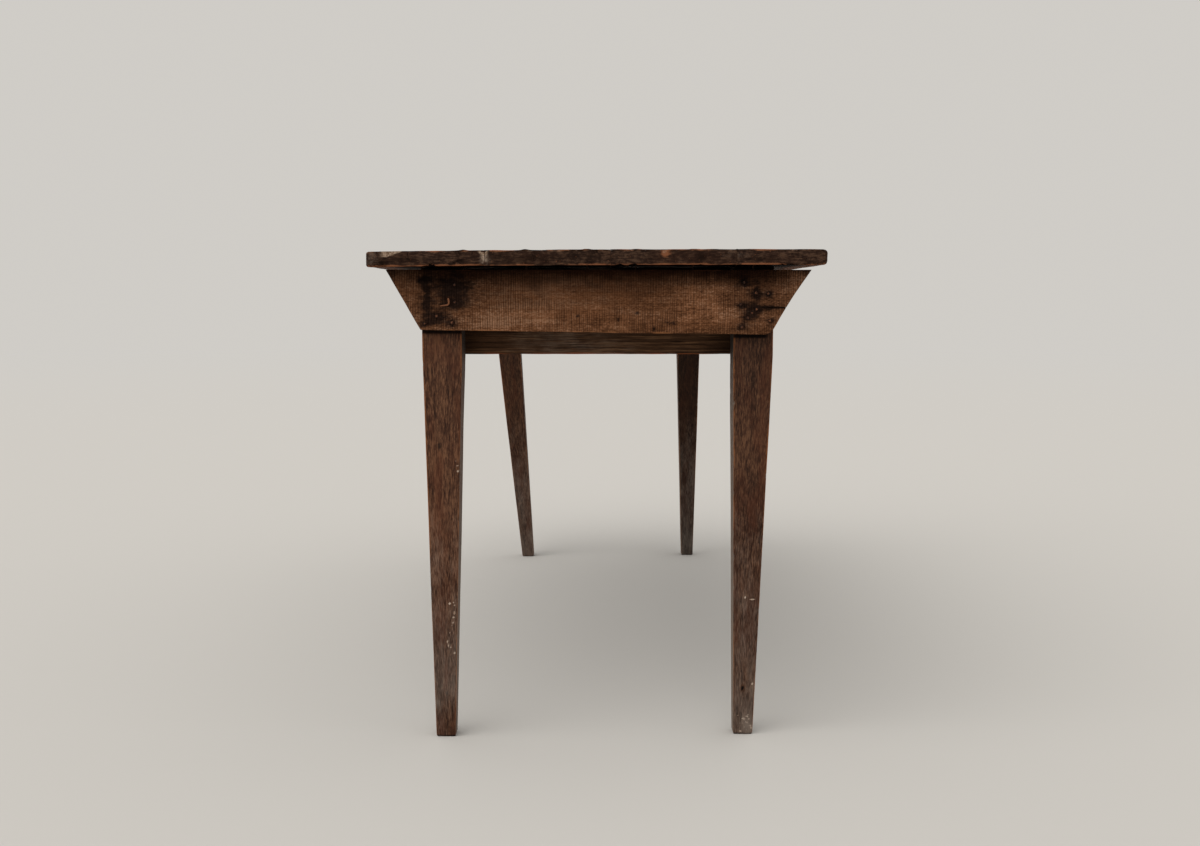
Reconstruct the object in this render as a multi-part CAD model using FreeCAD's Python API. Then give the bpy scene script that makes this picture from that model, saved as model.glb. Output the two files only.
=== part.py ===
import FreeCAD, Part
import math
import os

# Refectory table: a nailed plank top on a pegged frame with four tapered legs.
# X is the width, Y the length and Z is up. The origin is on the floor, under the middle of the top.
# All sizes are in millimetres.

# Whole table
table_height = 750.0
top_width = 684.0
top_overhang = 20.0  # past the face of each end board
frame_width = 530.0  # over the outer faces of the legs
frame_length = 1636.0  # over the end faces of the legs
overrun = 5.0  # how far a cut runs past the face that it opens

# Legs: a square head at the rails, then an even taper to the foot
leg_section = 60.0
foot_section = 30.0
foot_chamfer = 3.0
front_left_foot_out = 6.0  # how far the old feet have strayed from under their heads
front_right_foot_in = 9.0
front_right_foot_back = 6.0
back_left_foot_in = 51.0
back_left_foot_forward = 10.0
back_right_foot_out = 10.0

# Side rails, tenoned into the legs with a haunch
rail_depth = 135.0  # down from the underside of the top
side_rail_thickness = 26.0
side_rail_setback = 6.0  # behind the outer faces of the legs
tenon_thickness = 10.0
tenon_length = 36.0
tenon_lower_shoulder = 12.0
haunch_height = 30.0
haunch_length = 10.0
tenon_clearance = 0.2

# Pegs through the tenons, shaved to eight sides
peg_width = 9.0
peg_sides = 8
peg_length = 42.0
peg_proud = 1.5
peg_chamfer = 1.0
peg_setback = 14.0  # from the shoulder of the rail
peg_height_shares = (0.28, 0.72)  # of the tenon, from its lower edge

# Cross rails, let into the side rails behind the legs
cross_rail_thickness = 25.0
cross_rail_housing = 8.0

# Bearers under the planks, stub tenoned into the side rails
bearer_width = 44.0
bearer_depth = 58.0
bearer_tenon_width = 20.0
bearer_tenon_length = 12.0
bearer_shoulder = 12.0  # above and below the tenon
bearer_place_shares = (-0.17, 0.17)  # of the frame's length, from the middle

# End boards: flared boards nailed over the end faces of the legs
end_board_thickness = 22.0
end_board_gap = 6.0  # shrunk away from the underside of the top
end_board_left_height = 90.0
end_board_right_height = 97.0
end_board_left_reach = 50.5  # top corners, past the outer faces of the legs
end_board_right_reach = 54.0
end_board_left_heel = 0.5  # bottom corners, inside the outer faces of the legs
end_board_right_heel = 7.5

# Planks of the top, tongued and grooved, with their joints shrunk open
top_thickness = 24.0
plank_width_shares = (0.257, 0.272, 0.271, 0.200)
plank_gap = 1.2
tongue_thickness = 8.0
tongue_length = 9.0
tongue_clearance = 0.4

# Forged nails: a faceted head on a square, tapered shank
nail_shank = 3.6
nail_tip_share = 0.45
rose_head_width = 7.6
rose_head_height = 2.4
rose_head_top_share = 0.4
flat_head_width = 9.0
flat_head_height = 1.6
flat_head_sink = 0.4
nail_head_sides = 6
end_nail_length = 40.0
rail_nail_length = 42.0
top_nail_length = 52.0
# Places on the end board: across the leg from its outer face, and down the board from its top edge
left_nail_shares = ((0.117, 0.89), (0.417, 0.767), (0.793, 0.874), (0.867, 0.539), (0.867, 0.25))
right_nail_shares = (
    (0.783, 0.196), (0.483, 0.361), (0.175, 0.371), (0.867, 0.536), (0.467, 0.608),
    (0.583, 0.665), (0.683, 0.742), (0.133, 0.784), (0.833, 0.882),
)
rail_nail_height_shares = (0.14, 0.5, 0.86)  # of the rail's depth
plank_nail_shares = ((0.45, 0.82), (0.32, 0.81), (0.2, 0.66), (0.2, 0.7))  # across each plank
side_nail_place_shares = (-0.36, 0.0, 0.36)  # of the frame's length, from the middle

# Bent nail, driven through the front board and hammered over sideways
bent_nail_shank = 3.2
bent_nail_depth = 36.0
bent_nail_drop = 9.0
bent_nail_reach = 12.0
bent_nail_across_share = 0.70
bent_nail_down_share = 0.49

# Places that follow from the sizes above
top_underside = table_height - top_thickness
rail_bottom = top_underside - rail_depth
half_width = frame_width / 2
half_length = frame_length / 2
shoulder_y = half_length - leg_section
rail_outer_x = half_width - side_rail_setback
rail_inner_x = rail_outer_x - side_rail_thickness
rail_middle_x = (rail_outer_x + rail_inner_x) / 2
tenon_bottom = rail_bottom + tenon_lower_shoulder
tenon_top = top_underside - haunch_height
cross_rail_inner_y = shoulder_y - cross_rail_thickness
end_board_y = half_length + end_board_thickness
end_board_top = top_underside - end_board_gap
half_top_length = end_board_y + top_overhang
bearer_bottom = top_underside - bearer_depth

sides = {"left": -1, "right": 1}
ends = {"front": -1, "back": 1}
foot_drifts = {
    "front_left": (0, -front_left_foot_out),
    "front_right": (-front_right_foot_in, front_right_foot_back),
    "back_left": (back_left_foot_in, -back_left_foot_forward),
    "back_right": (0, back_right_foot_out),
}


def vector(x, y, z):
    return FreeCAD.Vector(x, y, z)


def block(x_span, y_span, z_span):
    low = vector(min(x_span), min(y_span), min(z_span))
    high = vector(max(x_span), max(y_span), max(z_span))
    size = high - low
    return Part.makeBox(size.x, size.y, size.z, low)


def around(middle, size):
    return (middle - size / 2, middle + size / 2)


def ring(points):
    return Part.makePolygon(points + points[:1])


def square(x, y, z, width):
    reach = width / 2
    corners = [(-reach, -reach), (reach, -reach), (reach, reach), (-reach, reach)]
    return [vector(x + dx, y + dy, z) for dx, dy in corners]


def polygon(corner_count, z, width):
    radius = width / 2
    angles = [2 * math.pi * step / corner_count for step in range(corner_count)]
    return [vector(radius * math.cos(angle), radius * math.sin(angle), z) for angle in angles]


# A solid with flat sides through outlines of as many corners each, one above the other
def tapered(outlines):
    faces = [Part.Face(ring(outlines[0])), Part.Face(ring(outlines[-1]))]
    for lower, upper in zip(outlines, outlines[1:]):
        for corner in range(len(lower)):
            following = (corner + 1) % len(lower)
            faces.append(Part.Face(ring([
                lower[corner], lower[following], upper[following], upper[corner],
            ])))
    shell = Part.makeShell(faces)
    shell.sewShape()
    solid = Part.makeSolid(shell)
    if solid.Volume < 0:
        solid.reverse()
    return solid


def joined(shape, pieces):
    return shape.fuse(pieces).removeSplitter()


def aimed(shape, point, outward):
    placed = shape.copy()
    placed.Placement = FreeCAD.Placement(point, FreeCAD.Rotation(vector(0, 0, 1), outward))
    return placed


def turned(shape):
    copy = shape.copy()
    copy.rotate(vector(0, 0, 0), vector(0, 0, 1), 180)
    return copy


# A nail stands on the origin with its shank below and its head above, ready to be aimed.
def nail(length, head_width, head_height, head_top_share):
    shank = tapered([square(0, 0, -length, nail_shank * nail_tip_share), square(0, 0, 0, nail_shank)])
    head = tapered([
        polygon(nail_head_sides, 0, head_width),
        polygon(nail_head_sides, head_height, head_width * head_top_share),
    ])
    return joined(shank, [head])


def rose_nail(length):
    return nail(length, rose_head_width, rose_head_height, rose_head_top_share)


def flat_nail(head_height):
    return nail(top_nail_length, flat_head_width, head_height, 1)


# Nails through the front board: the same pattern, turned round, holds the back board.
def end_nails():
    faces = (
        (-1, left_nail_shares, end_board_left_height),
        (1, right_nail_shares, end_board_right_height),
    )
    nails = []
    for side, shares, height in faces:
        for across_share, down_share in shares:
            x = side * (half_width - leg_section * across_share)
            z = end_board_top - height * down_share
            point = vector(x, -end_board_y, z)
            nails.append(aimed(rose_nail(end_nail_length), point, vector(0, -1, 0)))
    return nails


# The bent nail leaves the board, turns down along its face and then turns outwards to its tip.
def bent_nail():
    x = -half_width + leg_section * bent_nail_across_share
    z = end_board_top - end_board_left_height * bent_nail_down_share
    lying_y = -end_board_y - bent_nail_shank / 2
    corners = [
        vector(x, -end_board_y + bent_nail_depth, z),
        vector(x, lying_y, z),
        vector(x, lying_y, z - bent_nail_drop),
        vector(x - bent_nail_reach, lying_y, z - bent_nail_drop),
    ]
    path = Part.makePolygon(corners)
    section = ring([
        corners[0] + vector(point.x, 0, point.y) for point in square(0, 0, 0, bent_nail_shank)
    ])
    mitred_corners = 1
    return path.makePipeShell([section], True, False, mitred_corners)


# Nails from each cross rail into the legs behind it
def rail_nails():
    x = (half_width - leg_section + rail_inner_x) / 2
    nails = []
    for end in ends.values():
        for side in sides.values():
            for share in rail_nail_height_shares:
                point = vector(side * x, end * cross_rail_inner_y, rail_bottom + rail_depth * share)
                nails.append(aimed(rose_nail(rail_nail_length), point, vector(0, -end, 0)))
    return nails


def plank_spans():
    spans = []
    left = -top_width / 2
    for share in plank_width_shares:
        right = left + top_width * share
        spans.append((left, right))
        left = right
    return spans


# Where the planks are nailed down: into the end boards, the bearers and the side rails
def top_nail_places():
    end_rows = [end * (half_length + end_board_thickness / 2) for end in ends.values()]
    bearer_rows = [frame_length * share for share in bearer_place_shares]
    places = []
    for (left, right), shares in zip(plank_spans(), plank_nail_shares):
        for x in [left + (right - left) * share for share in shares]:
            places += [(x, y) for y in end_rows]
            if abs(x) < rail_inner_x - nail_shank:
                places += [(x, y) for y in bearer_rows]
    for side in sides.values():
        places += [(side * rail_middle_x, frame_length * share) for share in side_nail_place_shares]
    return places


def top_nails(head_height):
    seat = table_height - flat_head_sink - flat_head_height
    up = vector(0, 0, 1)
    return [aimed(flat_nail(head_height), vector(x, y, seat), up) for x, y in top_nail_places()]


# The tenon and haunch at one end of a side rail, or the mortise for them with its clearance
def tenon(side, end, clearance, above):
    x_span = around(side * rail_middle_x, tenon_thickness + 2 * clearance)
    tongue = block(
        x_span,
        (end * shoulder_y, end * (shoulder_y + tenon_length + clearance)),
        (tenon_bottom - clearance, tenon_top + clearance),
    )
    haunch = block(
        x_span,
        (end * shoulder_y, end * (shoulder_y + haunch_length + clearance)),
        (tenon_top, top_underside + above),
    )
    return joined(tongue, [haunch])


def tenon_pegs(side, end):
    start = side * (half_width + peg_proud)
    y = end * (shoulder_y + peg_setback)
    peg = tapered([
        polygon(peg_sides, 0, peg_width),
        polygon(peg_sides, peg_length - peg_chamfer, peg_width),
        polygon(peg_sides, peg_length, peg_width - 2 * peg_chamfer),
    ])
    pegs = []
    for share in peg_height_shares:
        z = tenon_bottom + (tenon_top - tenon_bottom) * share
        point = vector(start - side * peg_length, y, z)
        pegs.append(aimed(peg, point, vector(side, 0, 0)))
    return pegs


def leg(side, end, drift, fasteners):
    x = side * (half_width - leg_section / 2)
    y = end * (half_length - leg_section / 2)
    foot_x = x + drift[0]
    foot_y = y + drift[1]
    head = block(around(x, leg_section), around(y, leg_section), (rail_bottom, top_underside))
    taper = tapered([
        square(foot_x, foot_y, 0, foot_section - 2 * foot_chamfer),
        square(foot_x, foot_y, foot_chamfer, foot_section),
        square(x, y, rail_bottom, leg_section),
    ])
    shape = joined(head, [taper])
    return shape.cut([tenon(side, end, tenon_clearance, overrun)] + fasteners)


def side_rail(side, fasteners):
    z_span = (rail_bottom, top_underside)
    board = block((side * rail_inner_x, side * rail_outer_x), (-shoulder_y, shoulder_y), z_span)
    shape = joined(board, [tenon(side, end, 0, 0) for end in ends.values()])
    housings = []
    for end in ends.values():
        housings.append(block(
            (side * (rail_inner_x - overrun), side * (rail_inner_x + cross_rail_housing)),
            (end * cross_rail_inner_y, end * (shoulder_y + overrun)),
            (rail_bottom - overrun, top_underside + overrun),
        ))
    mortises = [bearer_tenon(side, share, tenon_clearance) for share in bearer_place_shares]
    return shape.cut(housings + mortises + fasteners)


def cross_rail(end, fasteners):
    reach = rail_inner_x + cross_rail_housing - tenon_clearance
    board = block(
        (-reach, reach),
        (end * cross_rail_inner_y, end * shoulder_y),
        (rail_bottom, top_underside),
    )
    return board.cut(fasteners)


def bearer_tenon(side, place_share, clearance):
    return block(
        (side * rail_inner_x, side * (rail_inner_x + bearer_tenon_length + clearance)),
        around(frame_length * place_share, bearer_tenon_width + 2 * clearance),
        (bearer_bottom + bearer_shoulder - clearance, top_underside - bearer_shoulder + clearance),
    )


def bearer(place_share, fasteners):
    beam = block(
        (-rail_inner_x, rail_inner_x),
        around(frame_length * place_share, bearer_width),
        (bearer_bottom, top_underside),
    )
    shape = joined(beam, [bearer_tenon(side, place_share, 0) for side in sides.values()])
    return shape.cut(fasteners)


def end_board(fasteners):
    bottom_left = end_board_top - end_board_left_height
    bottom_right = end_board_top - end_board_right_height
    y = -end_board_y
    outline = ring([
        vector(-half_width - end_board_left_reach, y, end_board_top),
        vector(-half_width + end_board_left_heel, y, bottom_left),
        vector(half_width - end_board_right_heel, y, bottom_right),
        vector(half_width + end_board_right_reach, y, end_board_top),
    ])
    board = Part.Face(outline).extrude(vector(0, end_board_thickness, 0))
    return board.cut(fasteners)


# Each plank has a groove on its left edge and a tongue on its right, but for the outer edges of the top.
def plank(index, fasteners):
    spans = plank_spans()
    left, right = spans[index]
    first = index == 0
    last = index == len(spans) - 1
    y_span = (-half_top_length, half_top_length)
    left_edge = left if first else left + plank_gap / 2
    right_edge = right if last else right - plank_gap / 2
    tongue_middle = top_underside + top_thickness / 2
    shape = block((left_edge, right_edge), y_span, (top_underside, table_height))
    if not last:
        tongue = block(
            (right_edge, right_edge + tongue_length),
            y_span,
            around(tongue_middle, tongue_thickness),
        )
        shape = joined(shape, [tongue])
    if not first:
        groove_end = left_edge - plank_gap + tongue_length + tongue_clearance
        groove = block(
            (left_edge - overrun, groove_end),
            (-half_top_length - overrun, half_top_length + overrun),
            around(tongue_middle, tongue_thickness + 2 * tongue_clearance),
        )
        shape = shape.cut(groove)
    return shape.cut(fasteners)


# Fasteners come first, because each of them cuts its own hole in the wood that it holds.
front_nails = end_nails()
back_nails = [turned(shape) for shape in front_nails]
bent = bent_nail()
inner_nails = rail_nails()
plank_nails = top_nails(flat_head_height)
plank_nail_holes = top_nails(flat_head_height + flat_head_sink + overrun)
pegs = {(side, end): tenon_pegs(side, end) for side in sides.values() for end in ends.values()}
all_pegs = [peg for corner in pegs.values() for peg in corner]
face_nails = {"front": front_nails + [bent], "back": back_nails}

parts = {
    "front_end_nails": Part.makeCompound(front_nails),
    "back_end_nails": Part.makeCompound(back_nails),
    "bent_nail": bent,
    "cross_rail_nails": Part.makeCompound(inner_nails),
    "top_nails": Part.makeCompound(plank_nails),
    "tenon_pegs": Part.makeCompound(all_pegs),
    "front_end_board": end_board(face_nails["front"] + plank_nail_holes),
    "back_end_board": turned(end_board(front_nails)).cut(plank_nail_holes),
}
for end_name, end in ends.items():
    for side_name, side in sides.items():
        corner = end_name + "_" + side_name
        held = face_nails[end_name] + inner_nails + pegs[(side, end)]
        parts[corner + "_leg"] = leg(side, end, foot_drifts[corner], held)
    parts[end_name + "_cross_rail"] = cross_rail(end, inner_nails)
for side_name, side in sides.items():
    parts[side_name + "_side_rail"] = side_rail(side, all_pegs + plank_nail_holes)
for name, share in zip(ends, bearer_place_shares):
    parts[name + "_bearer"] = bearer(share, plank_nail_holes)
for index in range(len(plank_width_shares)):
    parts["top_plank_" + str(index + 1)] = plank(index, plank_nail_holes)

os.makedirs("parts", exist_ok=True)
for name, shape in parts.items():
    shape.exportStep("parts/" + name + ".step")
    print(name, len(shape.Solids), round(shape.Volume), shape.isValid())
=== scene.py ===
import math
import random

import bpy
import numpy as np
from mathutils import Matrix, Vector, noise


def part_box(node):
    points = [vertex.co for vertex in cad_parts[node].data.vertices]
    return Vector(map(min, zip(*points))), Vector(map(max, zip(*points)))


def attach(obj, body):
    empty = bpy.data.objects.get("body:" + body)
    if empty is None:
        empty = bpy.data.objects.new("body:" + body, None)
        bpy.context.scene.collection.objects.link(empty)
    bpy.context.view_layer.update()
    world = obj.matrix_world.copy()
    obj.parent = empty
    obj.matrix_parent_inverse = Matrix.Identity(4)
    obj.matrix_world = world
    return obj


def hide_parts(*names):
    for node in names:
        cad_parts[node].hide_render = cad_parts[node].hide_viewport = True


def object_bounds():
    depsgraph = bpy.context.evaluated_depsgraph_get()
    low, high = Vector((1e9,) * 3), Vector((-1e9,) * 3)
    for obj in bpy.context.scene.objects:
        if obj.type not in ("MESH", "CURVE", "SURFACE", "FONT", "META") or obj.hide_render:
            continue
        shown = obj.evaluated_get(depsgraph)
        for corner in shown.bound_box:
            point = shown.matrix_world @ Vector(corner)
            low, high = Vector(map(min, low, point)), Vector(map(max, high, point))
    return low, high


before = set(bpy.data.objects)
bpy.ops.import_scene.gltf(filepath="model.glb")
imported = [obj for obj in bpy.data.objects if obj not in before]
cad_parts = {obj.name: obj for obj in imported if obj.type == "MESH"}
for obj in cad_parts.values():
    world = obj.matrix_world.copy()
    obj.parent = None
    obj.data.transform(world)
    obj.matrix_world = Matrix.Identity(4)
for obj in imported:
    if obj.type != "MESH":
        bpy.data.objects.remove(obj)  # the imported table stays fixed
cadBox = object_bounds()
scene = bpy.context.scene
dice = random.Random(11)
print("frame loaded:", len(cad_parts), "nodes")


# small tools for shapes

skinSet = {  # shared by all the worn skins
    "rimShares": (0, 0.12, 0.28, 0.48, 0.72), "closestLines": 0.0003, "deepestBite": 0.6,
    "nickSpan": 0.95, "nickSink": (0.30, 0.5), "nickBare": (0.0, 0.5), "bareDepth": 0.0012,
    "hollowRise": 0.3, "faceTurn": (0.4, 0.8),
}


def smoothStep(low, high, value):
    t = np.clip((value - low) / (high - low), 0, 1)
    return t * t * (3 - 2 * t)


def bell(value, reach):  # 1 in the middle, fading to nothing
    return np.exp(-(value / reach) ** 2)


def spotShare(across, height, spot):  # the same for a spot with its middle and reach in both directions
    x, z, reachX, reachZ = spot
    return np.exp(-((across - x) / reachX) ** 2 - ((height - z) / reachZ) ** 2)


def faceShare(turned):  # 1 where the skin is turned one way, 0 where it looks aside
    return smoothStep(*skinSet["faceTurn"], turned)


def bumps(points, scale, offset, layers=1):  # soft noise, about -1 to 1
    spots = points * np.asarray(scale, float) + offset
    total = np.zeros(len(points))
    for layer in range(layers):
        rough = [noise.noise(spot) for spot in (spots * 2 ** layer).tolist()]
        total += np.array(rough) / 2 ** layer
    return total


def freshOffset():
    return np.array([dice.uniform(-60, 60) for axis in range(3)])


def spreadLines(length, step, rim, extra=()):  # even lines, closer together in the rim at both ends
    half = length / 2
    count = max(2, int(round((length - 2 * rim) / step)) + 1)
    middle = np.linspace(rim - half, half - rim, count)
    edge = rim * np.array(skinSet["rimShares"])
    lines = np.concatenate([edge - half, middle, half - edge])
    for line in extra:
        lines = lines[np.abs(lines - line) > skinSet["closestLines"]]
    return np.unique(np.round(np.concatenate([lines, np.asarray(extra, float)]), 6))


def boxSkin(xs, ys, zs):  # closed skin of a box, one vertex at each crossing of the lines
    shape = (len(xs), len(ys), len(zs))
    onSkin = np.zeros(shape, bool)
    onSkin[[0, -1]] = True
    onSkin[:, [0, -1]] = True
    onSkin[:, :, [0, -1]] = True
    index = np.full(shape, -1)
    index[onSkin] = np.arange(onSkin.sum())
    grid = np.meshgrid(xs, ys, zs, indexing="ij")
    points = np.stack([axis[onSkin] for axis in grid], axis=1)
    sides = (
        (index[0], True), (index[-1], False), (index[:, 0], False),
        (index[:, -1], True), (index[:, :, 0], True), (index[:, :, -1], False),
    )
    faces = []
    for side, flip in sides:
        quads = np.stack([side[:-1, :-1], side[1:, :-1], side[1:, 1:], side[:-1, 1:]], axis=-1)
        quads = quads.reshape(-1, 4)
        faces.append(quads[:, ::-1] if flip else quads)
    return points, np.concatenate(faces)


def rubbing(points, own, offset):  # where the edges have been rubbed, 0 to 1
    return np.clip(bumps(points, own["rubScale"], offset, 2), 0, 1)


def wornRadius(rubbed, own):
    return own["arris"] + own["arrisWear"] * rubbed


def roundArris(points, half, radius):  # rounds every edge, gives the points and their outward directions
    reach = half - radius[:, None]
    core = np.clip(points, -reach, reach)
    away = points - core
    length = np.linalg.norm(away, axis=1)[:, None]
    outward = away / np.maximum(length, 1e-9)
    return core + outward * radius[:, None], outward


def arrisDistance(points, half):  # how far a skin point lies from the nearest edge
    return np.sort(half - np.abs(points), axis=1)[:, 1]


def arrisShade(edge, rough, own):  # pale wear along the edges
    return bell(edge, own["wearReach"]) * np.clip(own["wearShare"] + own["wearGain"] * rough, 0, 1)


def hollowOut(points, outward, own, offset):  # shallow waves in the flat faces
    waves = own["hollow"] * (bumps(points, own["hollowScale"], offset, 2) - skinSet["hollowRise"])
    points += outward * waves[:, None]


def carve(points, outward, centre, radius):  # scoops a ball out of the skin, gives the depth at each point
    gap = points - np.asarray(centre)
    inside = (gap ** 2).sum(1) - radius ** 2
    along = (gap * outward).sum(1)
    deepest = skinSet["deepestBite"] * radius
    close = (inside < 0) & (along < deepest)
    depth = np.zeros(len(points))
    depth[close] = along[close] + np.sqrt(along[close] ** 2 - inside[close])
    depth = np.minimum(depth, deepest)
    points -= outward * depth[:, None]
    return depth


def nickEdges(points, outward, half, nicks, longAxis, dents):  # random nicks on the long arrises
    count, *sizes = nicks
    span = skinSet["nickSpan"]
    bare = np.zeros(len(points))
    for nick in range(count):
        centre = np.array([dents.choice((-1, 1)) * reach for reach in half])
        centre[longAxis] = dents.uniform(-span, span) * half[longAxis]
        radius = dents.uniform(*sizes)
        shift = np.sign(centre) * radius * dents.uniform(*skinSet["nickSink"])
        shift[longAxis] = 0
        depth = np.minimum(carve(points, outward, centre + shift, radius) / skinSet["bareDepth"], 1)
        bare = np.maximum(bare, depth * dents.uniform(*skinSet["nickBare"]))
    return bare


def ringFaces(rings, sides):  # skin of a closed tube whose two ends are points
    faces = [(0, 1 + step, 1 + (step + 1) % sides) for step in range(sides)]
    for ring in range(rings - 1):
        first = 1 + ring * sides
        for step in range(sides):
            following = (step + 1) % sides
            faces.append((first + step, first + sides + step, first + sides + following, first + following))
    last = 1 + (rings - 1) * sides
    faces += [(last + (step + 1) % sides, last + step, last + sides) for step in range(sides)]
    return faces


def spunMesh(centre, axis, rings, own, wobble):  # closed turned shape, its first and last rings are points
    sides, rough = own["sides"], own["rough"]
    side = np.array([axis[1], axis[2], axis[0]])
    up = np.cross(axis, side)
    turn = wobble.uniform(0, math.pi)
    points = [centre + axis * rings[0][1]]
    for reach, lift in rings[1:-1]:
        for step in range(sides):
            angle = turn + 2 * math.pi * step / sides
            away = reach * (1 + rough * math.sin(3 * angle + turn * 5) + wobble.uniform(-rough, rough) / 2)
            points.append(centre + axis * lift + away * (side * math.cos(angle) + up * math.sin(angle)))
    points.append(centre + axis * rings[-1][1])
    return points, ringFaces(len(rings) - 2, sides)


def joinShapes(shapes):
    points, faces = [], []
    for morePoints, moreFaces in shapes:
        faces += [tuple(len(points) + corner for corner in face) for face in moreFaces]
        points += morePoints
    return points, faces


def cornersOf(node):
    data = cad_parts[node].data
    spots = np.zeros(len(data.vertices) * 3, np.float32)
    data.vertices.foreach_get("co", spots)
    return spots.reshape(-1, 3).astype(float)


def looseBoxes(node):  # the box of each separate solid in a node
    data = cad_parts[node].data
    spots = cornersOf(node)
    keys = [tuple(spot) for spot in np.round(spots, 5).tolist()]
    owner = {key: key for key in keys}

    def root(key):
        while owner[key] != key:
            key = owner[key]
        return key

    for face in data.polygons:
        first = root(keys[face.vertices[0]])
        for corner in face.vertices[1:]:
            owner[root(keys[corner])] = first
    groups = {}
    for key, spot in zip(keys, spots):
        groups.setdefault(root(key), []).append(spot)
    boxes = [(np.min(group, axis=0), np.max(group, axis=0)) for group in groups.values()]
    return sorted(boxes, key=lambda box: tuple(np.round(box[0], 4)))


def addPiece(name, points, faces, material, layers, node):
    mesh = bpy.data.meshes.new(name)
    mesh.from_pydata(np.asarray(points).tolist(), [], [list(face) for face in faces])
    for key, values in layers.items():
        vector = values.ndim == 2
        layer = mesh.attributes.new(key, "FLOAT_VECTOR" if vector else "FLOAT", "POINT")
        layer.data.foreach_set("vector" if vector else "value", values.astype(np.float32).ravel())
    mesh.polygons.foreach_set("use_smooth", np.ones(len(mesh.polygons), bool))
    mesh.materials.append(material)
    mesh.update()
    piece = bpy.data.objects.new(name, mesh)
    scene.collection.objects.link(piece)
    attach(piece, "root")
    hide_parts(node)
    return piece


# small tools for materials, all at work on the tree that was started last

tree = None


def newTree(owner):
    global tree
    owner.use_nodes = True
    tree = owner.node_tree
    tree.nodes.clear()


def addNode(kind, inputs=None, **settings):
    made = tree.nodes.new("ShaderNode" + kind)
    for key, value in settings.items():
        setattr(made, key, value)
    for key, value in (inputs or {}).items():
        if isinstance(value, bpy.types.NodeSocket):
            tree.links.new(value, made.inputs[key])
        else:
            made.inputs[key].default_value = value
    return made


def finishTree(shader, kind="OutputMaterial"):
    addNode(kind, {"Surface": shader.outputs[0]})


def paint(red, green, blue):  # screen colour, 0 to 255, as Blender's linear colour
    parts = [part / 255 for part in (red, green, blue)]
    return tuple(p / 12.92 if p <= 0.04045 else ((p + 0.055) / 1.055) ** 2.4 for p in parts) + (1.0,)


def painted(key, output="Fac"):  # a layer of the mesh
    return addNode("Attribute", attribute_name=key).outputs[output]


def mixed(factor, first, second, mode="MIX"):
    inputs = {0: factor, 6: first, 7: second}
    return addNode("Mix", inputs, data_type="RGBA", blend_type=mode).outputs[2]


def calc(operation, first, second=0.0, third=0.0):
    return addNode("Math", {0: first, 1: second, 2: third}, operation=operation).outputs[0]


def times(first, second):
    return calc("MULTIPLY", first, second)


def timesPlus(first, second, third):
    return calc("MULTIPLY_ADD", first, second, third)


def between(value, low, high, toLow=0.0, toHigh=1.0):
    inputs = {"Value": value, "From Min": low, "From Max": high, "To Min": toLow, "To Max": toHigh}
    return addNode("MapRange", inputs, interpolation_type="SMOOTHSTEP").outputs["Result"]


def vectorCalc(operation, first, second=(0, 0, 0), output=0):
    return addNode("VectorMath", {0: first, 1: second}, operation=operation).outputs[output]


def grainNoise(vector, scale, detail=3.0, roughness=0.55, output="Fac"):
    place = vectorCalc("MULTIPLY", vector, scale)
    inputs = {"Vector": place, "Scale": 1.0, "Detail": detail, "Roughness": roughness}
    return addNode("TexNoise", inputs).outputs[output]


# wood: the third grain coordinate runs along the fibres, in metres

layerNames = ("wear", "stain", "dirtAndShade", "dust", "bare", "tint", "ends")
toneParts = ("fibre", "fleck", "streak", "mottle", "blotch")
figureSet = {  # patterns of every wood: scale, detail and roughness
    "streak": ((90, 90, 3.5), 3.0, 0.6), "mottle": ((75, 75, 32), 4.0, 0.62), "blotch": ((13, 13, 5), 4.0, 0.6),
    "endStreak": ((85, 430, 45), 5.0, 0.7), "tatter": ((230, 230, 120), 3.0, 0.6),
    "sawDrift": ((9, 9, 26), 2.0, 0.5), "sawRough": ((9, 9, 330), 3.0, 0.6),
    "sawPatch": ((26, 26, 16), 3.0, 0.6),
    "checkWave": ((75, 75, 1.1), 2.0), "checkPatch": ((16, 16, 2.2), 2.0),
}


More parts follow.
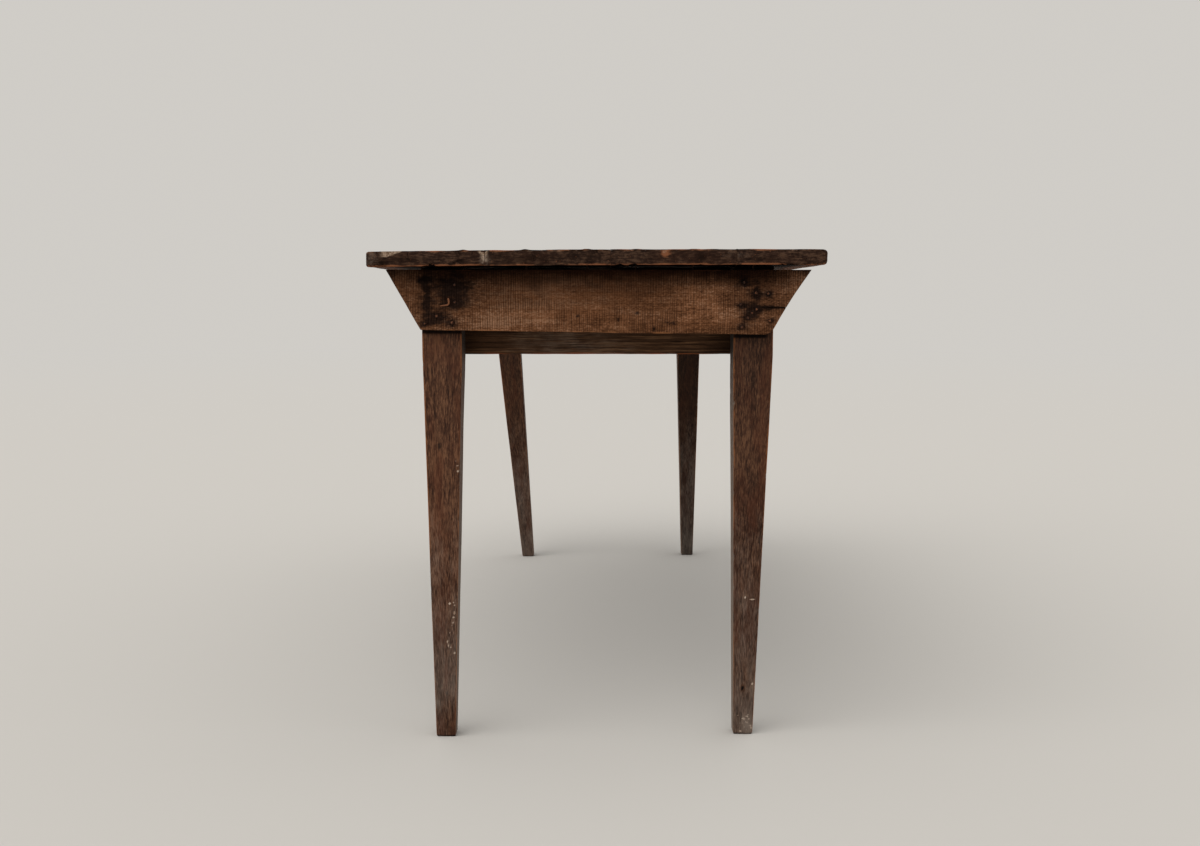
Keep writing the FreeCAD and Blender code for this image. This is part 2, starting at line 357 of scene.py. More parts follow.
def woodMaterial(name, look):
    material = bpy.data.materials.new(name)
    newTree(material)
    grain = painted("grain", "Vector")
    layer = {key: painted(key) for key in layerNames}
    drawn = {key: grainNoise(grain, *pattern) for key, pattern in figureSet.items()}
    drawn["fibre"] = grainNoise(grain, look["fibreScale"], 5.0, 0.68)
    drawn["fleck"] = grainNoise(grain, look["fleckScale"], 4.0, 0.65)
    fleck, mottle = drawn["fleck"], drawn["mottle"]
    pores = between(grainNoise(grain, look["poreScale"], 2.0, 0.5), 0.57, 0.70)

    # year rings round a wandering heart line, pushed aside by knots
    wander = grainNoise(grain, (5, 5, look["wanderRate"]), 2.0, 0.5, "Color")
    offCentre = vectorCalc("SUBTRACT", wander, (0.5, 0.5, 0.5))
    swing = vectorCalc("MULTIPLY", offCentre, (look["wander"], look["wander"], 0))
    heart = vectorCalc("MULTIPLY", vectorCalc("ADD", grain, swing), (1, 1, 0))
    radius = vectorCalc("LENGTH", heart, output="Value")
    axes = addNode("SeparateXYZ", {0: grain}).outputs
    along = axes[2]
    knotSpot = addNode("CombineXYZ", {0: axes[0], 1: times(along, look["knotLong"])}).outputs[0]
    knotInputs = {"Vector": knotSpot, "Scale": look["knotRate"], "Randomness": 1.0}
    knotCells = addNode("TexVoronoi", knotInputs, voronoi_dimensions="2D")
    knotPick = addNode("SeparateColor", {0: knotCells.outputs["Color"]}).outputs[0]
    knotOn = calc("LESS_THAN", knotPick, look["knotShare"])
    knotReach = calc("DIVIDE", knotCells.outputs["Distance"], look["knotRate"])
    knotPull = times(between(knotReach, look["knotSwirl"], 0.0), knotOn)
    radius = timesPlus(knotPull, look["knotBend"], radius)
    radius = timesPlus(along, look["taper"], radius)
    ringSpot = addNode("CombineXYZ", {0: times(radius, 90.0)}).outputs[0]
    ringShift = grainNoise(ringSpot, (1, 1, 1), 1.0)
    ringSaw = calc("FRACT", timesPlus(ringShift, 2.5, calc("DIVIDE", radius, look["ringWidth"])))
    lateWood = times(between(ringSaw, 0.25, 0.92), between(ringSaw, 1.0, 0.93))

    # tone of the fibres, then rings, pores, knots and end grain over it
    tone = times(drawn["fibre"], look["fibre"])
    for key in toneParts[1:]:
        tone = timesPlus(drawn[key], look[key], tone)
    tone = calc("DIVIDE", tone, sum(look[key] for key in toneParts))
    endTone = timesPlus(drawn["endStreak"], 0.6, times(mottle, 0.4))
    tone = timesPlus(calc("SUBTRACT", endTone, tone), layer["ends"], tone)
    spread = look["contrast"]
    colour = mixed(between(tone, 0.5 - spread, 0.5), look["dark"], look["mid"])
    colour = mixed(between(tone, 0.5, 0.5 + spread), colour, look["light"])
    hue = grainNoise(grain, look["hueScale"])
    colour = mixed(between(hue, 0.42, 0.68, 0, look["hueDepth"]), colour, look["hue"])
    ringDepth = timesPlus(layer["ends"], look["endRing"], look["ringDepth"])
    colour = mixed(times(lateWood, ringDepth), colour, look["dark"])
    colour = mixed(times(pores, look["poreDepth"]), colour, look["black"])
    knotEdge = timesPlus(fleck, 0.008, knotReach)
    knotCore = times(between(knotEdge, *look["knotCore"]), knotOn)
    colour = mixed(times(knotCore, look["knotDepth"]), colour, look["black"])
    colour = mixed(times(layer["ends"], look["endDepth"]), colour, look["endShade"])
    value = timesPlus(layer["tint"], 0.5, 1.0)
    colour = addNode("HueSaturation", {"Value": value, "Color": colour}).outputs[0]

    # lines that the saw left across the fibres
    sawPhase = timesPlus(drawn["sawDrift"], 2.5, calc("DIVIDE", along, look["sawStep"]))
    sawComb = between(calc("PINGPONG", sawPhase, 0.5), 0.05, 0.45)
    sawRough = between(drawn["sawRough"], 0.36, 0.64)
    sawLine = timesPlus(sawComb, 0.6, times(sawRough, 0.4))
    saw = times(sawLine, between(drawn["sawPatch"], 0.3, 0.62, 0.35, 1.0))
    colour = mixed(times(saw, look["sawDepth"]), colour, look["sawShade"])

    # scratches in three directions and checks along the fibres
    scratch = 0.0
    for angle in look["scratchTurns"]:
        turned = addNode("VectorRotate", {"Vector": grain, "Angle": angle}, rotation_type="Y_AXIS")
        line = grainNoise(turned.outputs[0], look["scratchScale"], 1.0, 0.4)
        scratch = calc("MAXIMUM", between(line, 0.735, 0.80), scratch)
    colour = mixed(times(scratch, look["scratch"]), colour, look["rubbed"])
    checkLine = calc("ABSOLUTE", calc("SUBTRACT", drawn["checkWave"], 0.5))
    checkPatch = between(drawn["checkPatch"], 0.56, 0.66)
    check = times(between(checkLine, look["checkWidth"], 0.004), checkPatch)
    check = times(check, look["checks"])
    colour = mixed(check, colour, look["black"])

    # rubbed arrises, bare wood, dirt with painted shade, iron stain and dust, each made ragged by the grain
    def uneven(base, rough, amount):
        return timesPlus(calc("SUBTRACT", rough, 0.5), amount, base)

    def present(key):  # stays nothing where the layer is blank
        return between(layer[key], 0.0, 0.12)

    def ragged(key, rough, amount):
        return times(uneven(layer[key], rough, amount), present(key))

    wear = between(ragged("wear", tone, 1.6), 0.2, 0.7, 0, look["wearDepth"])
    colour = mixed(wear, colour, look["rubbed"])
    bareTone = mixed(between(fleck, 0.35, 0.65), look["bareDark"], look["bareWood"])
    colour = mixed(between(ragged("bare", mottle, 1.3), 0.2, 0.8), colour, bareTone)
    # this layer holds real dirt and painted shade under and between parts, multiplied into the colour
    dirtAndShade = between(ragged("dirtAndShade", mottle, 0.6), 0.0, 1.0)
    colour = mixed(dirtAndShade, colour, look["grimeShade"], "MULTIPLY")
    stain = uneven(ragged("stain", drawn["tatter"], 1.4), mottle, 0.7)
    stain = times(between(stain, 0.0, 1.0), present("stain"))
    colour = mixed(stain, colour, look["ironShade"], "MULTIPLY")
    speck = uneven(ragged("dust", mottle, 0.8), fleck, 0.9)
    dust = times(between(speck, 0.0, 1.1, 0, 0.8), present("dust"))
    colour = mixed(dust, colour, look["dustGrey"])
    normal = addNode("NewGeometry").outputs["Normal"]
    upward = addNode("SeparateXYZ", {0: normal}).outputs[2]
    settled = times(between(upward, 0.6, 0.98), between(drawn["blotch"], 0.3, 0.7, 0.3, 1.0))
    colour = mixed(times(settled, look["settledDust"]), colour, look["dustGrey"])

    # relief
    height = timesPlus(lateWood, look["ringRelief"], tone)
    cuts = (
        (pores, 0.35), (saw, look["sawRelief"]), (scratch, 0.4 * look["scratch"]),
        (check, 1.5), (knotCore, 0.3),
    )
    for cut, depth in cuts:
        height = timesPlus(cut, -depth, height)
    relief = addNode("Bump", {"Strength": 0.9, "Distance": look["relief"], "Height": height})
    gloss = between(tone, 0.38, 0.62, look["smooth"], look["rough"])
    gloss = timesPlus(calc("MAXIMUM", dust, dirtAndShade), 0.25, gloss)
    finishTree(addNode("BsdfPrincipled", {
        "Base Color": colour, "Roughness": gloss, "Normal": relief.outputs["Normal"],
        "Specular IOR Level": look["shine"], "Sheen Weight": look["bloom"], "Sheen Roughness": 0.4,
        "Sheen Tint": look["bloomTint"],
    }))
    return material


oldWood = {
    "dark": paint(54, 32, 22), "mid": paint(82, 52, 37), "light": paint(104, 70, 50),
    "black": paint(24, 14, 9), "hue": paint(92, 52, 34), "rubbed": paint(140, 92, 58),
    "bareWood": paint(176, 150, 128), "bareDark": paint(112, 86, 68), "dustGrey": paint(146, 131, 118),
    "endShade": paint(36, 25, 20), "sawShade": paint(44, 26, 15), "bloomTint": paint(255, 232, 214),
    "ironShade": (0.14, 0.15, 0.19, 1), "grimeShade": (0.08, 0.06, 0.05, 1),
    "fibreScale": (300, 300, 14), "fleckScale": (380, 380, 70), "poreScale": (900, 900, 60),
    "hueScale": (8, 8, 2.5), "hueDepth": 0.45, "poreDepth": 0.45, "endDepth": 0.45, "wearDepth": 0.75,
    "fibre": 0.4, "fleck": 0.45, "streak": 0.12, "mottle": 0.3, "blotch": 0.25, "contrast": 0.085,
    "wander": 0.025, "wanderRate": 1.8, "taper": 0.0,
    "ringWidth": 0.005, "ringDepth": 0.3, "endRing": 0.3, "ringRelief": -0.12,
    "knotRate": 4.0, "knotShare": 0.0, "knotLong": 0.6, "knotSwirl": 0.055, "knotBend": 0.018,
    "knotCore": (0.016, 0.010), "knotDepth": 0.85,
    "scratch": 0.0, "scratchTurns": (0.35, 1.25, 2.3), "scratchScale": (1100, 300, 7),
    "checks": 0.0, "checkWidth": 0.012, "sawStep": 0.0036, "sawDepth": 0.0, "sawRelief": 0.0,
    "relief": 0.0009, "smooth": 0.5, "rough": 0.75, "shine": 0.09, "bloom": 0.03, "settledDust": 0.1,
}
legLook = dict(
    oldWood, dark=paint(46, 27, 17), mid=paint(80, 52, 37), light=paint(112, 78, 56), hue=paint(90, 49, 31),
    fibreScale=(600, 600, 40), fleckScale=(540, 540, 100), poreScale=(760, 760, 90), hueScale=(36, 36, 11),
    fibre=0.3, fleck=0.5, streak=0.10, mottle=0.16, blotch=0.2, contrast=0.058,
    ringWidth=0.0026, ringDepth=0.22, wander=0.03, wanderRate=5.0,
    checks=0.4, scratch=0.15, rubbed=paint(134, 82, 46), bloom=0.06, shine=0.10,
    bareWood=paint(204, 186, 168), bareDark=paint(138, 112, 92), dustGrey=paint(122, 110, 100),
)
boardLook = dict(
    oldWood, dark=paint(60, 36, 20), mid=paint(101, 67, 45), light=paint(138, 103, 79), hue=paint(106, 67, 41),
    fibreScale=(420, 420, 16), fleckScale=(520, 520, 260), poreDepth=0.3,
    fibre=0.22, streak=0.06, mottle=0.2, blotch=0.4, contrast=0.075, ringDepth=0.12,
    sawDepth=0.75, sawRelief=0.6, sawShade=paint(42, 23, 11), shine=0.03, bloom=0.0,
)
railLook = dict(
    oldWood, dark=paint(38, 23, 14), mid=paint(78, 54, 37), light=paint(116, 85, 60), hue=paint(84, 56, 36),
    fibreScale=(420, 420, 5), fleckScale=(600, 600, 18), poreScale=(900, 900, 26),
    fibre=0.5, fleck=0.35, streak=0.2, mottle=0.12, blotch=0.2,
    ringDepth=0.34, ringWidth=0.0046, wander=0.04, wanderRate=1.2, taper=0.01, knotShare=0.12,
    checks=0.7, scratch=0.25, rubbed=paint(140, 74, 38), shine=0.04,
)
topLook = dict(
    oldWood, dark=paint(26, 16, 12), mid=paint(58, 41, 32), light=paint(98, 74, 58), hue=paint(72, 44, 31),
    fibreScale=(300, 300, 3.0), fleckScale=(420, 420, 16), poreScale=(800, 800, 22), hueDepth=0.3,
    fibre=0.5, fleck=0.35, streak=0.25, mottle=0.1, blotch=0.1, contrast=0.075,
    ringDepth=0.62, endRing=-0.5, ringWidth=0.0075, wander=0.05, wanderRate=0.8, taper=0.014, knotShare=0.3,
    checks=0.95, checkWidth=0.035, scratch=0.5, rubbed=paint(136, 86, 58), relief=0.0012,
    bareWood=paint(160, 138, 118), bareDark=paint(100, 78, 62), settledDust=0.12, shine=0.02, bloom=0.0,
)
pegLook = dict(railLook, mid=paint(104, 74, 50), endShade=paint(112, 82, 56))
legWood = woodMaterial("legWood", legLook)
boardWood = woodMaterial("endBoardWood", boardLook)
railWood = woodMaterial("railWood", railLook)
topWood = woodMaterial("topWood", topLook)
pegWood = woodMaterial("pegWood", pegLook)


def ironMaterial(name, look):
    material = bpy.data.materials.new(name)
    newTree(material)
    spot = addNode("TexCoord").outputs["Object"]
    rubbed = painted("rubbed")
    crust = grainNoise(spot, look["crustScale"], 4.0, 0.65)
    flake = grainNoise(spot, look["flakeScale"], 3.0, 0.6)
    rust = timesPlus(rubbed, 0.22, crust)
    colour = mixed(between(rust, 0.46, 0.70), look["black"], look["rust"])
    bright = between(timesPlus(rubbed, 0.2, flake), 0.6, 0.85, 0, 0.8)
    colour = mixed(bright, colour, look["brightRust"])
    height = calc("ADD", crust, times(flake, 0.5))
    relief = addNode("Bump", {"Strength": 0.7, "Distance": look["relief"], "Height": height})
    finishTree(addNode("BsdfPrincipled", {
        "Base Color": colour, "Roughness": between(crust, 0.3, 0.7, 0.5, 0.8),
        "Metallic": between(rust, 0.56, 0.42, 0.0, 0.2), "Normal": relief.outputs["Normal"],
        "Specular IOR Level": look["shine"],
    }))
    return material


nailIron = ironMaterial("nailIron", {
    "black": paint(28, 21, 18), "rust": paint(92, 54, 33), "brightRust": paint(150, 101, 71),
    "crustScale": (500, 500, 500), "flakeScale": (1700, 1700, 1700), "relief": 0.0006, "shine": 0.12,
})
print("materials made")


def grainAlong(points, axis, heart):  # grain coordinates, fibres last, measured from the heart of the tree
    order = {"x": (1, 2, 0), "y": (0, 2, 1), "z": (0, 1, 2)}[axis]
    return points[:, order] + np.asarray(heart)


def blankLayers(points):
    return {key: np.zeros(len(points)) for key in layerNames}


# the planks have settled to the left at the front, and the frame under them follows

sagSet = {
    "left": 0.0034, "middle": 0.0004, "right": 0.0, "backShare": 0.35, "backPlace": 0.6,
    "frameReach": 0.05, "frameRoom": 0.0003,
}
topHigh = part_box("top_plank_1")[1].z
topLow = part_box("top_plank_1")[0].z
halfWidth = cadBox[1][0]
halfLength = cadBox[1][1]


def topSag(points):
    across = points[:, 0] / halfWidth
    bend = (sagSet["left"] + sagSet["right"]) / 2 - sagSet["middle"]
    sag = sagSet["middle"] + (sagSet["right"] - sagSet["left"]) / 2 * across + bend * across ** 2
    back = smoothStep(-halfLength, sagSet["backPlace"] * halfLength, points[:, 1])
    return sag * (1 - (1 - sagSet["backShare"]) * back)


def fitUnderTop(points):  # lowers the upper ends of the frame with the planks
    share = smoothStep(topLow - sagSet["frameReach"], topLow, points[:, 2])
    points[:, 2] -= share * (topSag(points) + sagSet["frameRoom"])


# legs: square head, even taper, arrises rubbed round

legSet = {
    "lengthStep": 0.0034, "sideStep": 0.0028, "rim": 0.005, "headSlice": 0.0005, "footSlice": 0.004,
    "arris": 0.0010, "arrisWear": 0.0020, "rubScale": (40, 40, 9), "footRound": 0.0026, "footRise": 0.012,
    "nicks": (16, 0.003, 0.008), "hollow": 0.0006, "hollowScale": (22, 22, 7), "heart": (0.012, 0.062),
    "wearReach": 0.0024, "wearShare": 0.62, "wearGain": 0.8, "wearScale": (30, 30, 12),
    "dustHeights": (0.46, 0.16), "footDustHeights": (0.09, 0.03), "innerTurn": (0.6, 0.95),
    "underTopShadow": 0.06, "footShadow": 0.85, "footShadowHeights": (0.0042, 0.0014), "innerShadow": 0.8,
    "boardShadow": 0.95, "boardGaps": (0.0045, 0.0015), "cornerPlaces": (0.013, 0.005),
    "pegDirt": 0.7, "pegHalo": 0.0075,
    "headShade": 0.25, "headHeights": (0.42, 0.62), "footShade": 0.3, "footHeights": (0.10, 0.03),
    "legs": {  # shade of the wood, painted shade on its face toward the front, dust in three places (the inner one partly a painted sheen), painted shadow under the end board's foot and at its corner
        "front_left_leg": {
            "tint": -0.05, "front": 0.0, "dust": 0.38, "footDust": -0.2, "innerDust": 0.42,
            "boardLow": 0.6262, "cornerDirt": 1.0,
        },
        "front_right_leg": {
            "tint": -0.48, "front": 0.0, "dust": 0.34, "footDust": 0.15, "innerDust": 0.6,
            "boardLow": 0.6208, "cornerDirt": 0.3,
        },
        "back_left_leg": {
            "tint": -0.2, "front": -0.4, "dust": 0.4, "footDust": 0.1, "innerDust": 0.2,
            "boardLow": 0.6262, "cornerDirt": 0.3,
        },
        "back_right_leg": {
            "tint": -0.2, "front": -1.1, "dust": 0.4, "footDust": 0.1, "innerDust": 0.3,
            "boardLow": 0.6228, "cornerDirt": 1.0,
        },
    },
    "marks": (  # on the front faces: kind, middle, reach and strength
        ("bare", -0.2135, 0.4236, 0.0016, 0.0014, 1.2), ("bare", -0.2129, 0.4150, 0.0013, 0.0020, 1.1),
        ("bare", -0.2150, 0.4307, 0.0012, 0.0012, 1.0), ("stain", -0.2403, 0.4540, 0.0050, 0.0060, 0.6),
        ("bare", 0.2384, 0.2149, 0.0042, 0.0010, 1.3), ("bare", 0.2272, 0.2178, 0.0010, 0.0018, 1.3),
        ("stain", 0.2249, 0.0745, 0.0015, 0.0036, 1.8), ("dust", 0.2249, 0.0745, 0.0024, 0.0050, -0.6),
        ("dirtAndShade", 0.2249, 0.0740, 0.0014, 0.0026, 1.2), ("bare", 0.2398, 0.0811, 0.0012, 0.0014, 1.7),
        ("stain", -0.2330, 0.3325, 0.0080, 0.0140, 0.3), ("bare", -0.2273, 0.2101, 0.0019, 0.0016, 1.4),
        ("bare", -0.2196, 0.2073, 0.0012, 0.0014, 1.1), ("bare", -0.2199, 0.1946, 0.0013, 0.0015, 1.3),
        ("bare", -0.2217, 0.1887, 0.0017, 0.0010, 1.2), ("bare", -0.2311, 0.1503, 0.0011, 0.0030, 1.1),
        ("bare", -0.2303, 0.1443, 0.0011, 0.0030, 1.1), ("bare", -0.2205, 0.1325, 0.0012, 0.0016, 1.3),
        ("dust", -0.2482, 0.0530, 0.0040, 0.0060, 0.4), ("stain", -0.2333, 0.0695, 0.0024, 0.0036, 0.7),
        ("dust", 0.2320, 0.0150, 0.0100, 0.0130, 0.3),
    ),
    "specks": {  # count, span across and span in height
        "front_left_leg": (7, (-0.2300, -0.2180), (0.120, 0.215)),
        "front_right_leg": (34, (0.2170, 0.2400), (0.004, 0.032)),
    },
    "speckReach": (0.0007, 0.0015), "speckBare": (0.5, 1.0),
}


def legMarks(node, side):
    marks = [mark for mark in legSet["marks"] if mark[1] * side > 0]
    specks = random.Random("specks " + node)
    count, across, climb = legSet["specks"][node]
    for speck in range(count):
        place = (specks.uniform(*across), specks.uniform(*climb))
        reach = specks.uniform(*legSet["speckReach"])
        marks.append(("bare", *place, reach, reach, specks.uniform(*legSet["speckBare"])))
    return marks


def makeLeg(node, own):
    spots = cornersOf(node)
    headTop = spots[:, 2].max()
    headSpots = spots[spots[:, 2] > headTop - legSet["headSlice"]]
    footSpots = spots[spots[:, 2] < legSet["footSlice"]]
    head = (headSpots.min(0) + headSpots.max(0)) / 2
    foot = (footSpots.min(0) + footSpots.max(0)) / 2
    width = np.ptp(headSpots[:, 0])
    footWidth = np.ptp(footSpots[:, 0])
    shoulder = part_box("front_cross_rail")[0].z
    side, end = np.sign(head[:2])
    offset = freshOffset()
    dents = random.Random(node)
    marks = legMarks(node, side) if end < 0 else []
    markRows = []
    for kind, x, z, reachX, reachZ, amount in marks:
        markRows += [z + step * reachZ - headTop / 2 for step in (-1, 0, 1)]
    across = spreadLines(width, legSet["sideStep"], legSet["rim"])
    points, faces = boxSkin(across, across, spreadLines(headTop, legSet["lengthStep"], legSet["rim"], markRows))
    half = np.array([width, width, headTop]) / 2
    edge = arrisDistance(points, half)
    climb = points[:, 2] + half[2]
    radius = wornRadius(rubbing(points, legSet, offset), legSet)
    radius += legSet["footRound"] * smoothStep(legSet["footRise"], 0.0, climb)
    points, outward = roundArris(points, half, np.minimum(radius, legSet["rim"]))
    layers = blankLayers(points)
    layers["bare"] = nickEdges(points, outward, half, legSet["nicks"], 2, dents)
    hollowOut(points, outward, legSet, offset + 21)
    drift, heart = legSet["heart"]
    layers["grain"] = grainAlong(points, "z", (dents.uniform(-drift, drift), heart, offset[2] * 0.1))
    edgeNoise = bumps(points, legSet["wearScale"], offset + 5, 2)
    layers["wear"] = arrisShade(edge, edgeNoise, legSet)

    # dust low down and on the inner face (there partly a painted sheen), painted shade under the top, by the
    # rail and at the foot, painted shadow behind and under the end board
    front = faceShare(-outward[:, 1])
    inward = smoothStep(*legSet["innerTurn"], -side * outward[:, 0])
    dust = own["dust"] * smoothStep(*legSet["dustHeights"], climb) * np.clip(0.9 + 0.5 * edgeNoise, 0, 1.3)
    dust = np.maximum(dust + own["footDust"] * smoothStep(*legSet["footDustHeights"], climb), 0)
    # dust on the inner face below the rail, which also stands in for a painted grazing sheen
    layers["dust"] = dust + own["innerDust"] * inward * smoothStep(shoulder + 0.01, shoulder - 0.10, climb)
    # painted shade on the leg heads under the planks
    dirtAndShade = smoothStep(topLow - legSet["underTopShadow"], topLow, climb)
    # painted contact shadow at the foot
    dirtAndShade += legSet["footShadow"] * smoothStep(*legSet["footShadowHeights"], climb)
    # painted shade on the inner face by the rail and above it
    shadow = smoothStep(shoulder - 0.03, shoulder + 0.02, climb + 0.01 * edgeNoise)
    dirtAndShade += legSet["innerShadow"] * inward * shadow
    # painted shadow on the leg behind and just under the end board, weaker at the outer corner
    outerSide = smoothStep(*(half[0] - np.array(legSet["cornerPlaces"])), side * points[:, 0])
    boarded = faceShare(end * outward[:, 1]) * (1 - (1 - own["cornerDirt"]) * outerSide)
    behind = smoothStep(*(own["boardLow"] - np.array(legSet["boardGaps"])), climb)
    layers["dirtAndShade"] = dirtAndShade + legSet["boardShadow"] * boarded * behind
    headShade = legSet["headShade"] * smoothStep(*legSet["headHeights"], climb)
    # a negative front value darkens the back legs' faces toward the front: painted shade
    layers["tint"] += own["tint"] + own["front"] * front - headShade
    layers["tint"] -= legSet["footShade"] * smoothStep(*legSet["footHeights"], climb)

    # taper and lean
    fall = np.clip((shoulder - climb) / shoulder, 0, 1)
    size = 1 - fall * (1 - footWidth / width)
    for axis in (0, 1):
        points[:, axis] = points[:, axis] * size + head[axis] + fall * (foot[axis] - head[axis])
    points[:, 2] = np.maximum(points[:, 2] + half[2], 0)
    for low, high in looseBoxes("tenon_pegs"):  # dirt round the peg ends
        away = points - (low + high) / 2
        away[:, 0] = points[:, 0] - np.where(outward[:, 0] > 0, high[0], low[0])
        reach = np.linalg.norm(away, axis=1)
        layers["dirtAndShade"] += legSet["pegDirt"] * np.exp(-(reach / legSet["pegHalo"]) ** 4)
    for kind, *spot, amount in marks:
        layers[kind] += front * amount * spotShare(points[:, 0], points[:, 2], spot)
    fitUnderTop(points)
    return addPiece(node + "_worn", points, faces, legWood, layers, node)


for node, own in legSet["legs"].items():
    makeLeg(node, own)
print("legs made")


# plain boards of the frame: cross rails, side rails, bearers

boardSet = {
    "rim": 0.004, "arris": 0.0010, "arrisWear": 0.0018, "rubScale": 25, "hollow": 0.0006, "hollowScale": 18,
    "nicks": (12, 0.004, 0.009), "nickShare": 0.7, "heart": (0.05, 0.02),
    "wearReach": 0.0026, "wearShare": 0.6, "wearGain": 0.8, "wearScale": 22,
    "topShadow": (0.055, 0.005), "cornerShadeAndDirt": 0.5, "shadeAndDirtPlaces": (0.150, 0.205),
    "railDust": 0.22, "dustMiddle": -0.04, "dustReach": 0.11,
    "boards": {  # the way it lies, and the step of its skin
        "front_cross_rail": ("x", 0.005), "back_cross_rail": ("x", 0.005),
        "left_side_rail": ("y", 0.008), "right_side_rail": ("y", 0.008),
        "front_bearer": ("x", 0.007), "back_bearer": ("x", 0.007),
    },
}


def makeBoard(node, axis, step):
    low, high = (np.array(corner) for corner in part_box(node))
    middle = (low + high) / 2
    half = (high - low) / 2
    points, faces = boxSkin(*[spreadLines(2 * reach, step, boardSet["rim"]) for reach in half])
    offset = freshOffset()
    dents = random.Random(node)
    edge = arrisDistance(points, half)
    points, outward = roundArris(points, half, wornRadius(rubbing(points, boardSet, offset), boardSet))
    layers = blankLayers(points)
    nicked = nickEdges(points, outward, half, boardSet["nicks"], "xyz".index(axis), dents)
    layers["bare"] = boardSet["nickShare"] * nicked
    hollowOut(points, outward, boardSet, offset + 7)
    points += middle
    layers["wear"] = arrisShade(edge, bumps(points, boardSet["wearScale"], offset + 3, 2), boardSet)
    # painted shade on the upper part, under the planks
    layers["dirtAndShade"] = smoothStep(*(topLow - np.array(boardSet["topShadow"])), points[:, 2])
    if "cross" in node:  # painted shade and dirt in the corners by the legs, dust between
        layers["dirtAndShade"] += boardSet["cornerShadeAndDirt"] * smoothStep(*boardSet["shadeAndDirtPlaces"], np.abs(points[:, 0]))
        dust = boardSet["railDust"] * bell(points[:, 0] - boardSet["dustMiddle"], boardSet["dustReach"])
        layers["dust"] = dust * faceShare(np.abs(outward[:, 1]))
    layers["grain"] = grainAlong(points - middle, axis, (*boardSet["heart"], offset[0] * 0.1))
    fitUnderTop(points)
    return addPiece(node + "_worn", points, faces, railWood, layers, node)


for node, (axis, step) in boardSet["boards"].items():
    makeBoard(node, axis, step)
print("rails and bearers made")


# flared end boards

endSet = {
    "nodes": {"front_end_board": "front_end_nails", "back_end_board": "back_end_nails"},
    "step": 0.0022, "rim": 0.003, "arris": 0.0008, "arrisWear": 0.0014, "rubScale": 30,
    "hollow": 0.0006, "hollowScale": (12, 30, 30), "hollowSlant": 0.0020, "slantStart": 0.1,
    "cornerRound": 0.010,
    "wearReach": 0.0022, "wearShare": 0.4, "wearGain": 0.8, "wearScale": 30, "heart": (0.012, 0.09),
    "crackHeight": 0.6633, "crackSpan": (0.238, 0.275), "crackDepth": 0.006, "crackHalf": 0.0006,
    "crackRows": (-2.2, -1, 0, 1, 2.2), "crackReach": 0.0016, "crackBite": 0.003, "crackStain": 0.9,
    "stainWarp": 0.0055, "stainScale": 75, "stainMost": 1.1,
    "nailShift": 0.0012, "nailSquash": (1.1, 1.9), "nailWarp": 0.5, "nailStain": (0.5, 0.95),
    "nailReach": (0.0040, 0.0058), "nailHaze": (0.1, 0.3), "hazeReach": 0.013, "tightSmear": 0.006,
    "shade": 0.42, "shadeFall": 0.1, "paleTint": 0.9, "paleShadowCut": 0.6, "paleWarp": 2, "shadowEdgeRough": 0.004,
    "overhangShadowDepths": (0, 0.009, 0.018, 0.027, 0.036, 0.05, 0.065, 0.08),
    "dirt": (0.97, 0.87, 0.71, 0.58, 0.48, 0.36, 0.16, 0),
    "pale": (  # rubbed lighter: middle, reach and strength
        (0.155, 0.668, 0.055, 0.030, 1.2), (0.300, 0.690, 0.030, 0.060, 0.65),
        (-0.295, 0.680, 0.022, 0.060, 0.45), (-0.090, 0.655, 0.060, 0.016, 0.2),
        (0.030, 0.650, 0.060, 0.020, 0.3),
    ),
    "smears": (  # iron stain: middle, reach and strength, as seen from that end
        (-0.260, 0.704, 0.007, 0.005, 0.7), (-0.255, 0.680, 0.0065, 0.030, 0.75),
        (-0.256, 0.664, 0.008, 0.012, 0.3), (-0.207, 0.692, 0.012, 0.010, 0.5),
        (-0.213, 0.667, 0.011, 0.011, 0.4), (-0.237, 0.657, 0.008, 0.006, 0.4),
        (-0.236, 0.688, 0.026, 0.026, 0.72), (-0.204, 0.688, 0.034, 0.024, 0.55),
        (-0.246, 0.644, 0.016, 0.010, 0.45), (-0.240, 0.683, 0.013, 0.011, -0.4),
        (0.238, 0.688, 0.004, 0.013, 0.75), (0.250, 0.664, 0.014, 0.004, 0.9),
        (0.232, 0.658, 0.014, 0.009, 0.6), (0.216, 0.698, 0.009, 0.006, 0.55),
        (0.085, 0.632, 0.0020, 0.004, 1.3), (0.108, 0.640, 0.010, 0.0016, 1.1),
        (-0.030, 0.651, 0.0034, 0.002, 1.2), (0.060, 0.656, 0.0025, 0.0025, 1.0),
        (0.031, 0.645, 0.002, 0.003, 1.0), (0.153, 0.698, 0.0020, 0.006, 0.7),
        (0.156, 0.688, 0.0018, 0.005, 0.7),
    ),
}


